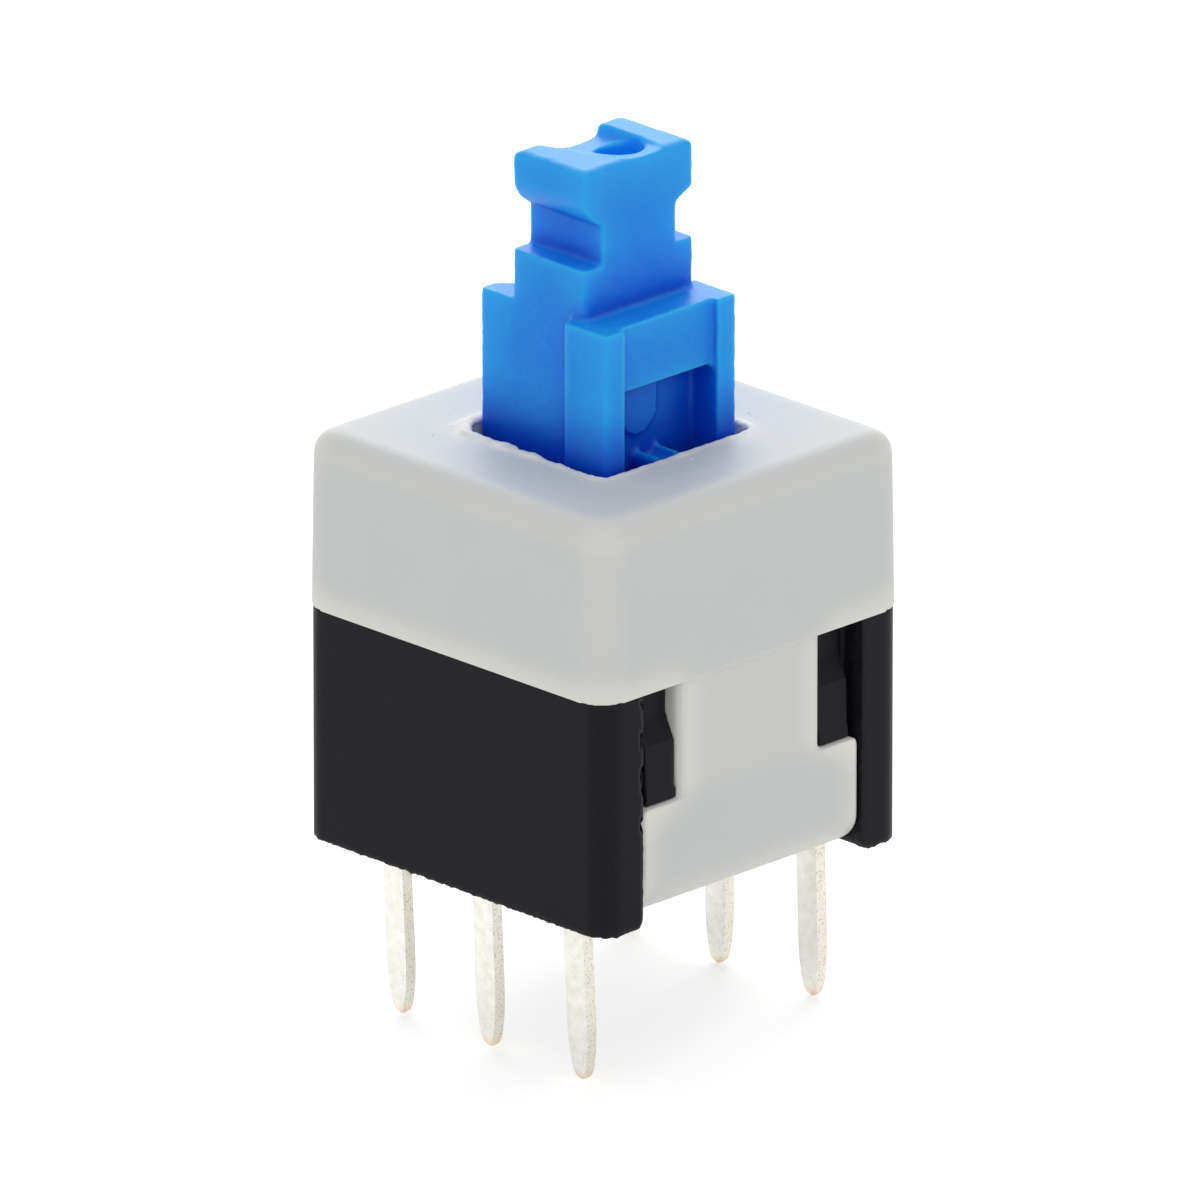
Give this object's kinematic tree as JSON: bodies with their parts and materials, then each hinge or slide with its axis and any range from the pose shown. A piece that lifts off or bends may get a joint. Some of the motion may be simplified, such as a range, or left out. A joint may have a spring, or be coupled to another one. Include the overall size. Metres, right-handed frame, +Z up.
{
  "type": "latching push-button switch",
  "caption": "Square push-button switch with a stepped, notched plunger, a snap-fit cover over a black base, and two rows of straight pins for a circuit board.",
  "frame": {"origin": "centre of the base's seating face, on the plunger's axis", "axes": "+Z up along the plunger's stroke, X along the two rows of pins, +X towards the side with the cam window"},
  "size_m": [0.0086, 0.0086, 0.0182],
  "materials": {
    "cover_plastic": "light grey, satin, moulded",
    "base_plastic": "black, satin, moulded",
    "plunger_plastic": "blue, soft gloss, slightly translucent",
    "tinned_brass": "tin plated, stamped",
    "contact_bronze": "plain spring bronze",
    "steel_wire": "drawn wire"
  },
  "bodies": {
    "housing": {"base": "base_plastic", "cover": "cover_plastic", "terminal_front_left": "tinned_brass", "terminal_front_centre": "tinned_brass", "terminal_front_right": "tinned_brass", "terminal_rear_left": "tinned_brass", "terminal_rear_centre": "tinned_brass", "terminal_rear_right": "tinned_brass", "return_spring": "steel_wire"},
    "plunger": {"plunger": "plunger_plastic", "contact_front": "contact_bronze", "contact_rear": "contact_bronze"},
    "latch_pin": {"latch_pin": "steel_wire"}
  },
  "joints": [
    {"name": "plunger_press", "type": "slide", "parent": "housing", "child": "plunger", "axis": [0, 0, -1], "range_m": [0, 0.0025], "stiffness_N_per_m": 400, "springref_m": -0.002, "deforming": ["return_spring"]},
    {"name": "latch_swing", "type": "hinge", "parent": "housing", "child": "latch_pin", "pos_m": [0.0016, 0, 0.00175], "axis": [1, 0, 0], "range_deg": [0, 17.8]}
  ]
}
